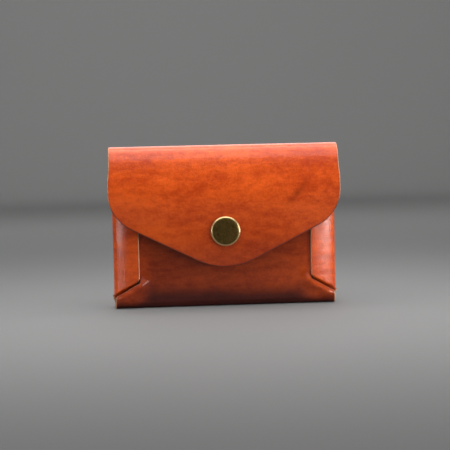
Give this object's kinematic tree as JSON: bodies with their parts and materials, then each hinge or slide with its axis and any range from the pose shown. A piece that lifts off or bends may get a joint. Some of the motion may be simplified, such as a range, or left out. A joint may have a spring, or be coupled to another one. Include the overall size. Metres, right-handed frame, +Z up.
{
  "type": "leather snap card wallet",
  "caption": "Folded one-piece leather card wallet with tucked corner wings and a rounded flap closed by an antique brass press stud.",
  "frame": {"origin": "centre of the bounding box's bottom, under the bottom fold", "axes": "+X across the wallet, +Y out of its back, +Z up towards the top fold; the flap and its stud face -Y"},
  "size_m": [0.098, 0.0154, 0.0687],
  "materials": {
    "russet_leather": "waxed vegetable-tanned grain, semi-gloss, with a pale flesh side and pale cut edges",
    "antique_brass": "blackened antique brass, rubbed bright at the rims",
    "spring_steel": "bright drawn wire"
  },
  "bodies": {
    "pouch": {"back_panel": "russet_leather", "bottom_fold": "russet_leather", "front_panel": "russet_leather", "left_side_fold": "russet_leather", "right_side_fold": "russet_leather", "left_wing": "russet_leather", "right_wing": "russet_leather", "snap_stud": "antique_brass", "stud_post": "antique_brass"},
    "fold_back": {"top_fold_back": "russet_leather"},
    "fold_crown": {"top_fold_crown": "russet_leather"},
    "fold_front": {"top_fold_front": "russet_leather"},
    "flap": {"flap": "russet_leather", "snap_cap": "antique_brass", "cap_post": "antique_brass", "snap_socket": "antique_brass", "socket_spring": "spring_steel"}
  },
  "joints": [
    {"name": "flap_bend_1", "type": "hinge", "parent": "pouch", "child": "fold_back", "pos_m": [0, 0.00712, 0.06444], "axis": [-1, 0, 0], "range_deg": [0, 45], "deforming": ["socket_spring"]},
    {"name": "flap_bend_2", "type": "hinge", "parent": "fold_back", "child": "fold_crown", "pos_m": [0, 0.00339, 0.06817], "axis": [-1, 0, 0], "range_deg": [0, 45]},
    {"name": "flap_bend_3", "type": "hinge", "parent": "fold_crown", "child": "fold_front", "pos_m": [0, -0.00189, 0.06817], "axis": [-1, 0, 0], "range_deg": [0, 45]},
    {"name": "flap_bend_4", "type": "hinge", "parent": "fold_front", "child": "flap", "pos_m": [0, -0.00562, 0.06444], "axis": [-1, 0, 0], "range_deg": [0, 45]}
  ],
  "couplings": [
    {"joint": "flap_bend_2", "follows": "flap_bend_1", "ratio": 1},
    {"joint": "flap_bend_3", "follows": "flap_bend_1", "ratio": 1},
    {"joint": "flap_bend_4", "follows": "flap_bend_1", "ratio": 1}
  ]
}
